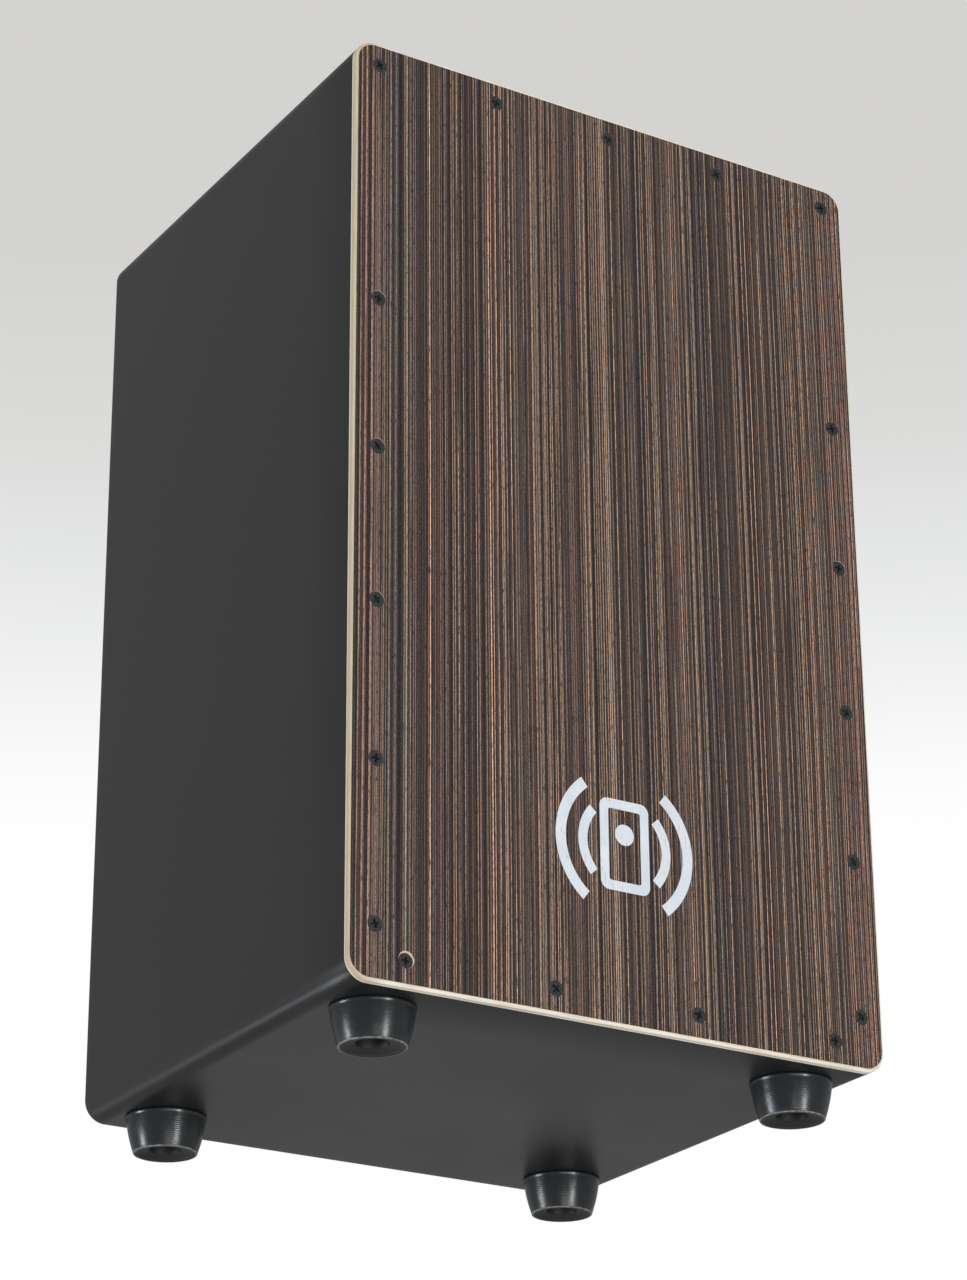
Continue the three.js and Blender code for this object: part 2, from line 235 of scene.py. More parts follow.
class Mat:
    """A node material, with short calls for the nodes used here."""

    def __init__(self, name, rough=0.5, metal=0.0, spec=0.5):
        self.m = bpy.data.materials.new(name)
        self.m.use_nodes = True
        self.t = self.m.node_tree
        self.t.nodes.clear()
        self.out = self.t.nodes.new("ShaderNodeOutputMaterial")
        self.b = self.t.nodes.new("ShaderNodeBsdfPrincipled")
        self.t.links.new(self.b.outputs[0], self.out.inputs[0])
        self.b.inputs["Roughness"].default_value = rough
        self.b.inputs["Metallic"].default_value = metal
        self.b.inputs["Specular IOR Level"].default_value = spec
        self.co = self.t.nodes.new("ShaderNodeTexCoord").outputs["Object"]

    def link(self, a, b):
        self.t.links.new(a, b)

    def put(self, socket, value):
        if isinstance(value, bpy.types.NodeSocket):
            self.link(value, socket)
        else:
            socket.default_value = value

    def math(self, op, a, b=None, c=None, clamp=False):
        n = self.t.nodes.new("ShaderNodeMath")
        n.operation, n.use_clamp = op, clamp
        for s, v in zip(n.inputs, (a, b, c)):
            if v is not None:
                self.put(s, v)
        return n.outputs[0]

    def xyz(self, vector=None):
        n = self.t.nodes.new("ShaderNodeSeparateXYZ")
        self.link(vector or self.co, n.inputs[0])
        return n.outputs

    def vec(self, x, y, z):
        n = self.t.nodes.new("ShaderNodeCombineXYZ")
        for s, v in zip(n.inputs, (x, y, z)):
            self.put(s, v)
        return n.outputs[0]

    def scaled(self, sx, sy, sz, vector=None):
        n = self.t.nodes.new("ShaderNodeVectorMath")
        n.operation = "MULTIPLY"
        self.link(vector or self.co, n.inputs[0])
        n.inputs[1].default_value = (sx, sy, sz)
        return n.outputs[0]

    def noise(self, vector, scale=1.0, detail=2.0, rough=0.5, distortion=0.0):
        n = self.t.nodes.new("ShaderNodeTexNoise")
        self.link(vector, n.inputs["Vector"])
        n.inputs["Scale"].default_value = scale
        n.inputs["Detail"].default_value = detail
        n.inputs["Roughness"].default_value = rough
        n.inputs["Distortion"].default_value = distortion
        return n.outputs[0]

    def deepen(self, colour, power, pivot, saturation=1.0, gain=1.0):
        """Spread a colour about a pivot brightness: darker darks, lighter lights."""
        n = self.t.nodes.new("ShaderNodeGamma")
        self.link(colour, n.inputs[0])
        n.inputs[1].default_value = power
        v = self.t.nodes.new("ShaderNodeVectorMath")
        v.operation = "MULTIPLY"
        self.link(n.outputs[0], v.inputs[0])
        v.inputs[1].default_value = tuple(gain * c ** (1.0 - power) for c in pivot)
        h = self.t.nodes.new("ShaderNodeHueSaturation")
        h.inputs["Saturation"].default_value = saturation
        self.link(v.outputs[0], h.inputs["Color"])
        return h.outputs[0]

    def cells(self, w, scale, randomness=1.0):
        """A random value for each stripe along w."""
        n = self.t.nodes.new("ShaderNodeTexVoronoi")
        n.voronoi_dimensions = "1D"
        n.feature = "F1"
        self.put(n.inputs["W"], w)
        n.inputs["Scale"].default_value = scale
        n.inputs["Randomness"].default_value = randomness
        s = self.t.nodes.new("ShaderNodeSeparateColor")
        self.link(n.outputs["Color"], s.inputs[0])
        return s.outputs

    def ramp(self, fac, stops, interpolation="LINEAR"):
        n = self.t.nodes.new("ShaderNodeValToRGB")
        n.color_ramp.interpolation = interpolation
        e = n.color_ramp.elements
        while len(e) > 1:
            e.remove(e[-1])
        for i, (p, c) in enumerate(stops):
            if i:
                el = e.new(p)
            else:
                el = e[0]
                el.position = p
            el.color = c if len(c) == 4 else (*c, 1.0)
        self.link(fac, n.inputs[0])
        return n.outputs[0]

    def grey(self, fac, a, b, lo=0.0, hi=1.0):
        """fac from a..b mapped to lo..hi, clamped."""
        n = self.t.nodes.new("ShaderNodeMapRange")
        self.link(fac, n.inputs["Value"])
        n.inputs["From Min"].default_value, n.inputs["From Max"].default_value = a, b
        n.inputs["To Min"].default_value, n.inputs["To Max"].default_value = lo, hi
        return n.outputs[0]

    def mix(self, fac, a, b, mode="MIX"):
        n = self.t.nodes.new("ShaderNodeMix")
        n.data_type, n.blend_type = "RGBA", mode
        self.put(n.inputs[0], fac)
        self.put(n.inputs[6], a)
        self.put(n.inputs[7], b)
        return n.outputs[2]

    def colour(self, v):
        self.put(self.b.inputs["Base Color"], v)

    def rough(self, v):
        self.put(self.b.inputs["Roughness"], v)

    def bump(self, height, strength, distance_mm, normal=None):
        n = self.t.nodes.new("ShaderNodeBump")
        n.inputs["Strength"].default_value = strength
        n.inputs["Distance"].default_value = distance_mm * MM
        self.link(height, n.inputs["Height"])
        if normal is not None:
            self.link(normal, n.inputs["Normal"])
        self.link(n.outputs[0], self.b.inputs["Normal"])
        return n.outputs[0]


# ------------------------------------------------------------------- materials
def paint_material():
    m = Mat("satin_black_paint", rough=0.34, spec=0.42)
    big = m.noise(m.scaled(1, 1, 1), 9.0, 3.0, 0.5)
    grain = m.noise(m.scaled(420, 3.0, 420), 1.0, 3.0, 0.6)
    speck = m.noise(m.scaled(1, 1, 1), 1500.0, 2.0, 0.6)
    base = m.ramp(m.grey(big, 0.3, 0.7), [(0, (0.0135, 0.0135, 0.0138)), (1, (0.0176, 0.0176, 0.0179))])
    dust = m.grey(speck, 0.62, 0.8, 0.0, 0.10)
    m.colour(m.mix(dust, base, (0.045, 0.045, 0.046, 1)))
    m.rough(m.math("ADD", m.grey(big, 0.3, 0.7, 0.31, 0.37), m.grey(speck, 0.3, 0.7, 0.0, 0.04)))
    peel = m.noise(m.scaled(1, 1, 1), 520.0, 2.0, 0.5)
    n1 = m.bump(peel, 0.10, 0.12)
    m.bump(grain, 0.05, 0.10, n1)
    return m.m


def raw_ply_material():
    m = Mat("bare_plywood_inside", rough=0.7, spec=0.25)
    grain = m.noise(m.scaled(120, 120, 9), 1.0, 5.0, 0.62, 0.4)
    broad = m.noise(m.scaled(14, 14, 2.2), 1.0, 2.0, 0.5, 0.6)
    c = m.ramp(m.grey(grain, 0.32, 0.68), [(0, srgb(150, 112, 74)), (0.5, srgb(184, 146, 104)), (1, srgb(205, 172, 130))])
    m.colour(m.mix(m.grey(broad, 0.4, 0.7, 0.0, 0.35), c, srgb(160, 120, 82)))
    pores = m.noise(m.scaled(900, 900, 45), 1.0, 2.0, 0.6)
    m.rough(m.grey(grain, 0.3, 0.7, 0.62, 0.78))
    m.bump(pores, 0.25, 0.15)
    return m.m


def birch_material():
    """Birch plywood: layers by depth on the edge, quiet figure on the faces."""
    m = Mat("birch_plywood", rough=0.5, spec=0.4)
    x, y, z = m.xyz()
    along = m.noise(m.scaled(55, 400, 55), 1.0, 3.0, 0.6, 0.3)
    wob = m.math("MULTIPLY", m.math("SUBTRACT", m.noise(m.scaled(30, 30, 30), 1.0, 2.0, 0.5), 0.5), 0.00022)
    d = m.math("DIVIDE", m.math("SUBTRACT", m.math("ADD", y, wob), YC * MM), (YB - YC) * MM)
    layers = m.ramp(
        d,
        [
            (0.0, srgb(246, 234, 212)),
            (0.06, srgb(253, 248, 236)),
            (0.30, srgb(254, 249, 238)),
            (0.36, srgb(216, 190, 156)),
            (0.45, srgb(220, 196, 164)),
            (0.52, srgb(255, 250, 236)),
            (1.0, srgb(255, 250, 236)),
        ],
    )
    # The left edge is painted tanner than the rest, except along its back layer: painted shade for the lesser light on
    # that side.
    tan = m.ramp(d, [(0.0, srgb(198, 181, 148)), (0.70, srgb(206, 190, 158)), (0.84, srgb(252, 241, 220)), (1.0, srgb(252, 241, 220))])
    fib = m.grey(along, 0.40, 0.72, 0.0, 0.30)
    layers = m.mix(m.grey(x, -0.126, -0.141, 0.0, 0.88), layers, tan)
    layers = m.mix(fib, layers, srgb(226, 204, 170))
    # Fibres run along each edge.
    ax = m.math("ABSOLUTE", x, 0.0)
    flat = m.math("MULTIPLY", m.noise(m.scaled(50, 1500, 1500), 1.0, 2.0, 0.6, 0.2), m.grey(ax, 0.139, 0.143, 1.0, 0.0))
    tall = m.math("MULTIPLY", m.noise(m.scaled(1500, 1500, 50), 1.0, 2.0, 0.6, 0.2), m.grey(ax, 0.139, 0.143, 0.0, 1.0))
    fibre = m.math("ADD", flat, tall)
    layers = m.mix(m.grey(fibre, 0.50, 0.64, 0.0, 0.55), layers, m.mix(1.0, layers, (0.74, 0.66, 0.54, 1), "MULTIPLY"))
    m.colour(layers)
    m.rough(m.grey(along, 0.3, 0.7, 0.42, 0.58))
    fine = m.noise(m.scaled(900, 2500, 900), 1.0, 2.0, 0.6)
    m.bump(fine, 0.2, 0.06)
    return m.m


def birch_face_material():
    m = Mat("birch_plywood_back", rough=0.62, spec=0.3)
    grain = m.noise(m.scaled(160, 20, 10), 1.0, 5.0, 0.6, 0.5)
    broad = m.noise(m.scaled(22, 10, 2.0), 1.0, 2.0, 0.5, 0.8)
    c = m.ramp(m.grey(grain, 0.32, 0.7), [(0, srgb(196, 160, 116)), (0.5, srgb(222, 194, 152)), (1, srgb(236, 214, 178))])
    m.colour(m.mix(m.grey(broad, 0.42, 0.7, 0.0, 0.4), c, srgb(190, 150, 106)))
    pores = m.noise(m.scaled(1100, 1100, 60), 1.0, 2.0, 0.6)
    m.bump(pores, 0.2, 0.1)
    return m.m


def veneer_material():
    m = Mat("striped_dark_veneer", rough=0.5, spec=0.22)
    x, y, z = m.xyz()

    def mul(v, k):
        return m.math("MULTIPLY", v, k)

    # The stripes wander a little as they climb, more so low down on the right.
    d1 = m.noise(m.vec(mul(x, 9.0), 0.0, mul(z, 2.6)), 1.0, 1.0, 0.4)
    low = m.math("MULTIPLY", m.grey(x, -0.05, 0.14, 0.0, 1.0), m.grey(z, 0.42, 0.10, 0.0, 1.0))
    amount = m.math("MULTIPLY_ADD", low, 0.0040, 0.0018)
    wave = m.math("MULTIPLY", m.math("SUBTRACT", d1, 0.5), amount)
    d2 = m.noise(m.vec(mul(x, 70.0), 0.0, mul(z, 12.0)), 1.0, 1.0, 0.5)
    wave2 = mul(m.math("SUBTRACT", d2, 0.5), 0.0004)
    fine = m.noise(m.vec(mul(x, 900.0), 0.0, mul(z, 240.0)), 1.0, 1.0, 0.5)
    jit = mul(m.math("SUBTRACT", fine, 0.5), 0.00022)
    u = m.math("ADD", m.math("ADD", m.math("ADD", x, wave), wave2), jit)

    # Beads and pores along the grain.
    bead = m.noise(m.vec(mul(u, 1900.0), 0.0, mul(z, 430.0)), 1.0, 2.0, 0.6)
    pore = m.noise(m.vec(mul(u, 2300.0), 7.0, mul(z, 210.0)), 1.0, 1.0, 0.5)

    def lines(shift, pitch, width, share, fade_scale, fade_lo, fade_hi, loose=1.0):
        """Mask of straight lines: pitch and width in mm, share of cells that hold one."""
        v = m.t.nodes.new("ShaderNodeTexVoronoi")
        v.voronoi_dimensions, v.feature = "1D", "F1"
        m.put(v.inputs["W"], m.math("ADD", u, shift))
        v.inputs["Scale"].default_value = 1000.0 / pitch
        v.inputs["Randomness"].default_value = loose
        sep = m.t.nodes.new("ShaderNodeSeparateColor")
        m.link(v.outputs["Color"], sep.inputs[0])
        h = 0.5 * width / pitch
        body = m.grey(v.outputs["Distance"], h * 1.5, h * 0.5)
        there = m.grey(sep.outputs[0], share + 0.01, share - 0.01)
        along = m.noise(m.vec(mul(u, 700.0), shift, mul(z, fade_scale)), 1.0, 2.0, 0.5)
        fade = m.grey(along, fade_lo, fade_hi)
        return m.math("MULTIPLY", m.math("MULTIPLY", body, there), fade), sep.outputs[1], sep.outputs[2]

    wide = m.cells(u, 120.0)
    mid = m.cells(m.math("ADD", u, 1.7), 1180.0)

    c = m.ramp(
        mid[0],
        [
            (0.00, srgb(68, 60, 61)),
            (0.24, srgb(66, 59, 60)),
            (0.27, srgb(82, 67, 64)),
            (0.45, srgb(87, 69, 65)),
            (0.48, srgb(86, 80, 76)),
            (0.70, srgb(94, 84, 79)),
            (0.73, srgb(92, 74, 67)),
            (0.90, srgb(96, 78, 71)),
            (0.93, srgb(100, 83, 75)),
            (1.00, srgb(104, 86, 77)),
        ],
    )
    mottle = m.noise(m.vec(mul(u, 620.0), 3.0, mul(z, 14.0)), 1.0, 2.0, 0.5)
    c = m.mix(m.grey(mottle, 0.50, 0.66, 0.0, 0.20), c, srgb(106, 93, 85))
    c = m.mix(m.grey(mottle, 0.48, 0.34, 0.0, 0.20), c, srgb(62, 56, 58))

    k, r1, r2 = lines(11.3, 1.05, 0.30, 0.50, 12.0, 0.30, 0.46)
    c = m.mix(mul(k, 0.75), c, m.ramp(r1, [(0, srgb(132, 106, 90)), (0.5, srgb(118, 98, 87)), (0.7, srgb(104, 102, 102)), (1, srgb(112, 108, 106))]))
    k, r1, r2 = lines(5.1, 1.31, 0.42, 0.72, 7.0, 0.26, 0.38, 0.6)
    tan = m.ramp(
        r1,
        [(0, srgb(178, 147, 113)), (0.35, srgb(160, 130, 103)), (0.6, srgb(150, 116, 99)), (0.85, srgb(142, 132, 118)), (1, srgb(188, 157, 121))],
    )
    k = m.math("MULTIPLY", k, m.grey(bead, 0.36, 0.54, 0.70, 1.0))
    c = m.mix(mul(k, 0.82), c, tan)
    k, r1, r2 = lines(23.7, 1.37, 0.50, 0.70, 7.0, 0.24, 0.36, 0.6)
    c = m.mix(mul(k, 0.92), c, m.ramp(r1, [(0, srgb(52, 55, 63)), (0.6, srgb(58, 57, 62)), (1, srgb(66, 56, 57))]))
    k, r1, r2 = lines(31.9, 3.1, 0.32, 0.6, 11.0, 0.34, 0.48)
    k = m.math("MULTIPLY", k, m.grey(bead, 0.38, 0.53, 0.55, 1.0))
    c = m.mix(mul(k, 0.78), c, m.ramp(r2, [(0, srgb(202, 172, 136)), (0.5, srgb(184, 156, 125)), (0.7, srgb(160, 156, 150)), (1, srgb(170, 163, 152))]))

    # Broader bands that run darker, redder or greyer.
    band = m.ramp(
        wide[0],
        [(0.0, (0.95, 0.96, 0.98)), (0.16, (0.96, 0.97, 0.99)), (0.20, (0.98, 0.98, 0.99)), (0.6, (1.0, 0.99, 0.98)), (1.0, (1.02, 1.01, 1.0))],
    )
    c = m.mix(1.0, c, band, "MULTIPLY")
    c = m.mix(m.grey(wide[1], 0.45, 1.0, 0.0, 0.5), c, m.mix(1.0, c, (1.10, 0.91, 0.87, 1), "MULTIPLY"))
    c = m.mix(m.grey(pore, 0.59, 0.70, 0.0, 0.65), c, srgb(48, 44, 47))
    c = m.mix(m.grey(bead, 0.60, 0.72, 0.0, 0.16), c, srgb(160, 132, 114))
    # Open pores and flecks, a few tenths of a millimetre each.
    fleck = m.noise(m.vec(mul(u, 2100.0), 11.0, mul(z, 1300.0)), 1.0, 1.0, 0.5)
    c = m.mix(m.grey(fleck, 0.54, 0.70, 0.0, 0.34), c, srgb(50, 45, 47))
    c = m.mix(m.grey(fleck, 0.46, 0.30, 0.0, 0.30), c, srgb(150, 126, 110))
    m.colour(m.deepen(c, 1.9, (0.118, 0.110, 0.112), 0.70, 0.635))
    m.rough(m.grey(pore, 0.3, 0.7, 0.44, 0.56))
    m.bump(m.math("ADD", mul(bead, 0.6), mul(mid[1], 0.4)), 0.18, 0.06)
    return m.m, None


def edge_wood_material():
    """Wall of a countersink, where the cutter went through the veneer into birch."""
    m = Mat("cut_birch_countersink", rough=0.6, spec=0.3)
    g = m.noise(m.scaled(900, 300, 500), 1.0, 3.0, 0.6)
    m.colour(m.ramp(m.grey(g, 0.3, 0.7), [(0, srgb(214, 190, 154)), (1, srgb(242, 230, 206))]))
    m.bump(g, 0.3, 0.05)
    return m.m


def screw_material():
    m = Mat("black_oxide_steel", rough=0.42, metal=0.55, spec=0.5)
    g = m.noise(m.scaled(1, 1, 1), 900.0, 3.0, 0.6)
    m.colour(m.ramp(m.grey(g, 0.3, 0.75), [(0, srgb(48, 49, 50)), (0.7, srgb(70, 72, 72)), (1, srgb(98, 100, 99))]))
    m.rough(m.grey(g, 0.3, 0.7, 0.34, 0.56))
    m.bump(g, 0.25, 0.05)
    return m.m


def zinc_material():
    m = Mat("zinc_plated_steel", rough=0.32, metal=1.0)
    g = m.noise(m.scaled(300, 300, 300), 1.0, 3.0, 0.6)
    m.colour(m.ramp(m.grey(g, 0.3, 0.7), [(0, srgb(142, 144, 146)), (1, srgb(190, 192, 194))]))
    m.rough(m.grey(g, 0.3, 0.7, 0.25, 0.45))
    m.bump(m.noise(m.scaled(1, 1, 1), 1400.0, 2.0, 0.6), 0.15, 0.04)
    return m.m


def wire_material():
    m = Mat("spring_steel_wire", rough=0.24, metal=1.0)
    g = m.noise(m.scaled(700, 700, 90), 1.0, 3.0, 0.6)
    m.colour(m.ramp(m.grey(g, 0.3, 0.7), [(0, srgb(160, 162, 165)), (1, srgb(208, 209, 211))]))
    m.rough(m.grey(g, 0.3, 0.7, 0.18, 0.34))
    return m.m


def rubber_material():
    m = Mat("moulded_black_rubber", rough=0.24, spec=0.5)
    x, y, z = m.xyz()
    r = m.math("SQRT", m.math("ADD", m.math("MULTIPLY", x, x), m.math("MULTIPLY", y, y)))
    blot = m.noise(m.scaled(1, 1, 1), 160.0, 3.0, 0.6)
    base = m.ramp(m.grey(blot, 0.3, 0.7), [(0, (0.0080, 0.0108, 0.0135)), (1, (0.0130, 0.0162, 0.0192))])
    # The rim that meets the floor is scuffed to a pale grey.
    worn = m.noise(m.scaled(1, 1, 1), 420.0, 4.0, 0.65)
    edge = m.math("MULTIPLY", m.grey(r, 0.0149, 0.0154), m.grey(z, 0.0006, 0.0002))
    scuff = m.math("MULTIPLY", edge, m.grey(worn, 0.34, 0.58, 0.25, 1.0))
    dusty = m.math("MULTIPLY", m.grey(z, 0.0030, 0.0), m.grey(worn, 0.45, 0.7, 0.02, 0.12))
    c = m.mix(dusty, base, srgb(120, 122, 124))
    face = m.math("MULTIPLY", m.grey(r, 0.0082, 0.0086), m.math("MULTIPLY", m.grey(r, 0.0142, 0.0132), m.grey(z, 0.0025, 0.0019)))
    c = m.mix(m.math("MULTIPLY", face, 0.8), c, (0.0210, 0.0208, 0.0200, 1))
    # The bore is painted near black: painted shade inside the hole.
    bore_shade = m.math("MULTIPLY", m.grey(r, 0.0083, 0.0079), m.grey(z, 0.0108, 0.0102))
    c = m.mix(bore_shade, c, (0.0028, 0.0028, 0.0030, 1))
    m.colour(m.mix(scuff, c, srgb(156, 156, 151)))
    rings = m.math("SINE", m.math("MULTIPLY", z, 2 * math.pi / 0.00095))
    lumpy = m.noise(m.scaled(90, 90, 500), 1.0, 2.0, 0.6)
    rr = m.math("ADD", m.grey(blot, 0.3, 0.7, 0.22, 0.30), m.math("MULTIPLY", m.math("ADD", scuff, dusty), 0.45))
    dull = m.math("MULTIPLY", m.grey(r, 0.0150, 0.0140), m.grey(z, 0.0108, 0.0102))
    m.rough(m.math("MULTIPLY_ADD", dull, 0.34, rr))
    side = m.grey(r, 0.0156, 0.0158)
    n1 = m.bump(m.math("MULTIPLY", m.math("MULTIPLY", rings, side), m.math("MULTIPLY", m.grey(lumpy, 0.36, 0.62), m.grey(z, 0.0150, 0.0138))), 0.40, 0.035)
    m.bump(m.noise(m.scaled(1, 1, 1), 1100.0, 3.0, 0.6), 0.16, 0.05, n1)
    return m.m


def grip_material():
    m = Mat("lever_grip_rubber", rough=0.6, spec=0.35)
    g = m.noise(m.scaled(1, 1, 1), 1400.0, 3.0, 0.6)
    x, y, z = m.xyz()
    ribs = m.math("SINE", m.math("MULTIPLY", y, 2 * math.pi / 0.0024))
    m.colour(m.ramp(m.grey(g, 0.3, 0.7), [(0, srgb(24, 25, 27)), (1, srgb(44, 45, 47))]))
    n1 = m.bump(ribs, 0.5, 0.3)
    m.bump(g, 0.3, 0.06, n1)
    return m.m


def plank_material(name, dark, mid, light, along="z"):
    """Planed solid wood with its grain along one axis."""
    m = Mat(name, rough=0.6, spec=0.3)
    s = {"x": (9, 170, 170), "z": (170, 170, 9)}[along]
    p = {"x": (50, 1100, 1100), "z": (1100, 1100, 50)}[along]
    g = m.noise(m.scaled(*s), 1.0, 5.0, 0.6, 0.5)
    pores = m.noise(m.scaled(*p), 1.0, 2.0, 0.6)
    c = m.ramp(m.grey(g, 0.32, 0.68), [(0, srgb(*dark)), (0.5, srgb(*mid)), (1, srgb(*light))])
    m.colour(m.mix(m.grey(pores, 0.58, 0.72, 0.0, 0.4), c, srgb(*dark)))
    m.rough(m.grey(g, 0.3, 0.7, 0.52, 0.7))
    m.bump(pores, 0.25, 0.1)
    return m.m


def felt_material():
    m = Mat("pressed_felt", rough=0.95, spec=0.1)
    g = m.noise(m.scaled(1, 1, 1), 2200.0, 4.0, 0.75, 0.5)
    m.colour(m.ramp(m.grey(g, 0.3, 0.7), [(0, srgb(34, 33, 32)), (1, srgb(82, 80, 77))]))
    m.bump(g, 0.8, 0.35)
    return m.m


def ink_material():
    m = Mat("white_screen_print", rough=0.5, spec=0.35)
    x, y, z = m.xyz()
    pores = m.noise(m.vec(m.math("MULTIPLY", x, 1500.0), 0.0, m.math("MULTIPLY", z, 120.0)), 1.0, 2.0, 0.6)
    patch = m.noise(m.scaled(1, 1, 1), 60.0, 3.0, 0.6)
    worn = m.math("MULTIPLY", m.grey(pores, 0.60, 0.70), m.grey(patch, 0.36, 0.62, 0.15, 0.9))
    tint = m.mix(m.grey(patch, 0.3, 0.7, 0.0, 1.0), srgb(214, 221, 229), srgb(228, 233, 239))
    m.colour(m.mix(worn, tint, srgb(112, 96, 90)))
    m.rough(m.grey(pores, 0.3, 0.7, 0.45, 0.62))
    m.bump(pores, 0.15, 0.04)
    return m.m


PAINT = paint_material()
RAW = raw_ply_material()
BIRCH = birch_material()
BIRCH_BACK = birch_face_material()
VENEER, _ = veneer_material()
SINK = edge_wood_material()
SCREW = screw_material()
ZINC = zinc_material()
WIRE = wire_material()
RUBBER = rubber_material()
GRIP = grip_material()
PINE_Z = plank_material("planed_pine_upright", (176, 132, 80), (205, 166, 112), (224, 192, 142), "z")
PINE_X = plank_material("planed_pine_level", (176, 132, 80), (205, 166, 112), (224, 192, 142), "x")
BEECH = plank_material("planed_beech", (150, 104, 66), (184, 138, 94), (204, 164, 120), "x")
FELT = felt_material()
INK = ink_material()


# --------------------------------------------------------------------- carcass
def carcass_steps():
    """(y, inset) pairs from the plate to the rear rim."""
    e, r = 0.45, 2.5
    out = [(YB + e * (1 - math.cos(a)), e * (1 - math.sin(a))) for a in quarter(3)]
    out += [(YB + 40, 0.0), (0.0, 0.0), (rear_lo[1], 0.0)]
    out += [(Y1 - r + r * math.sin(a), r * (1 - math.cos(a))) for a in quarter(8)]
    return out


def carcass_board(name, outline, inner):
    bm = bmesh.new()
    loft(bm, [[(x, y, z) for x, z in outline(d)] for y, d in carcass_steps()])
    me = to_mesh(bm, name)
    for p in me.polygons:
        c = p.center
        p.material_index = 1 if inner(c, p.normal) and c.y < rear_lo[1] * MM else 0
    return finish_piece(name + "_painted", me, [PAINT, RAW], nodes=[name], angle=40)


def side_outline(sign):
    def f(d):
        r = CORNER - d
        t = math.acos((XI - (X1 - CORNER)) / r)
        hi = arc(X1 - CORNER, Z1 - CORNER, r, t, 0, 14)
        lo = arc(X1 - CORNER, Z0 + CORNER, r, 0, -t, 14)
        return [(sign * x, z) for x, z in hi + [(X1 - d, 350.0), (X1 - d, 200.0)] + lo]

    return f


def board_outline(top):
    """Seat or bottom board between the side panels."""

    def f(d):
        r = CORNER - d
        t = math.acos((XI - (X1 - CORNER)) / r)
        q = math.pi / 2
        c = X1 - CORNER
        if top:
            a = arc(c, Z1 - CORNER, r, t, q, 6)
            b = arc(-c, Z1 - CORNER, r, q, math.pi - t, 6)
            return [(XI, ZT)] + a + b + [(-XI, ZT)]
        a = arc(c, Z0 + CORNER, r, -t, -q, 6)
        b = arc(-c, Z0 + CORNER, r, -q, -math.pi + t, 6)
        return [(XI, ZB)] + a + b + [(-XI, ZB)]

    return f


carcass_board("left_side_panel", side_outline(-1), lambda c, n: n.x > 0.9)
carcass_board("right_side_panel", side_outline(1), lambda c, n: n.x < -0.9)
carcass_board("seat_board", board_outline(True), lambda c, n: n.z < -0.9)
carcass_board("bottom_board", board_outline(False), lambda c, n: n.z > 0.9)


def rear_panel():
    hx, z0, z1 = rear_hi[0], rear_lo[2], rear_hi[2]
    y0, y1 = rear_lo[1], rear_hi[1]
    cz, r = Z0 + 330.0, 58.0
    n = 96
    angles = [2 * math.pi * k / n for k in range(n)]
    for cx, cc in ((hx, z1), (-hx, z1), (-hx, z0), (hx, z0)):
        a = math.atan2(cc - cz, cx) % (2 * math.pi)
        i = min(range(n), key=lambda k: abs(angles[k] - a))
        angles[i] = a

    def rect(y, inset):
        pts = []
        for a in angles:
            dx, dz = math.cos(a), math.sin(a)
            tx = (hx - inset) / abs(dx) if abs(dx) > 1e-9 else 1e9
            tz = ((z1 - inset - cz) if dz > 0 else (cz - z0 - inset)) / abs(dz) if abs(dz) > 1e-9 else 1e9
            t = min(tx, tz)
            pts.append((dx * t, y, cz + dz * t))
        return pts

    def ring(y, rad):
        return [(rad * math.cos(a), y, cz + rad * math.sin(a)) for a in angles]

    e = 1.2
    rings = [rect(y0, 0), rect(y1 - 0.3, 0), rect(y1, 0.3), ring(y1, r + 9)]
    rings += [ring(y1 - e * (1 - math.cos(a)), r + e * (1 - math.sin(a))) for a in quarter(6)]
    rings += [ring(y0 + e * (1 - math.sin(a)), r + e * (1 - math.cos(a))) for a in quarter(6)]
    rings += [ring(y0, r + 9)]
    bm = bmesh.new()
    loft(bm, rings, closed=True)
    me = to_mesh(bm, "rear_panel")
    for p in me.polygons:
        p.material_index = 1 if p.normal.y < -0.8 else 0
    finish_piece("rear_panel_painted", me, [PAINT, RAW], nodes=["rear_panel"], angle=20)
    # Flat faces keep their own normal, so the long ones between the corners and
    # the hole take none from the chamfer.
    for p in me.polygons:
        if abs(p.normal.y) > 0.9999:
            p.use_smooth = False


rear_panel()


# -------------------------------------------------------------- striking plate
screws = []
for node in sorted(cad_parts):
    if node.startswith("plate_screw_"):
        lo, hi = mmbox(node)
        screws.append((node, (lo[0] + hi[0]) / 2, (lo[2] + hi[2]) / 2))

rng = random.Random(7)
# How deep each head sits and how wide its countersink is cut: one at the foot of
# the plate sits deep and shows a crescent of bare birch above the head.
fit = {}
for node, x, z in screws:
    fit[node] = dict(
        sink=rng.uniform(0.18, 0.34),
        wide=rng.uniform(3.84, 3.90),
        up=rng.uniform(0.0, 0.03),
        turn=rng.uniform(0, math.pi / 2),
        tilt=(rng.uniform(-1.2, 1.2), rng.uniform(-1.2, 1.2)),
    )
for node, wide, sink, up, lean in (
    ("plate_screw_bottom_1", 4.08, 0.55, 0.32, 5.5),
):
    fit[node].update(wide=wide, sink=sink, up=up, tilt=(-lean, 0.0))
# The rest are driven flush, and the veneer closes round them; some on the left
# sit a little deeper and lean.
for node in fit:
    fit[node]["grow"] = 1.0
    if node in ("plate_screw_left_3", "plate_screw_left_4", "plate_screw_left_5", "plate_screw_right_4"):
        fit[node].update(wide=4.0, sink=0.16, up=0.0, tilt=(-1.5, 0.0), grow=1.08)
    elif node != "plate_screw_bottom_1":
        fit[node].update(wide=3.92, sink=0.02, up=0.0, tilt=(0.0, 0.0), grow=1.12)


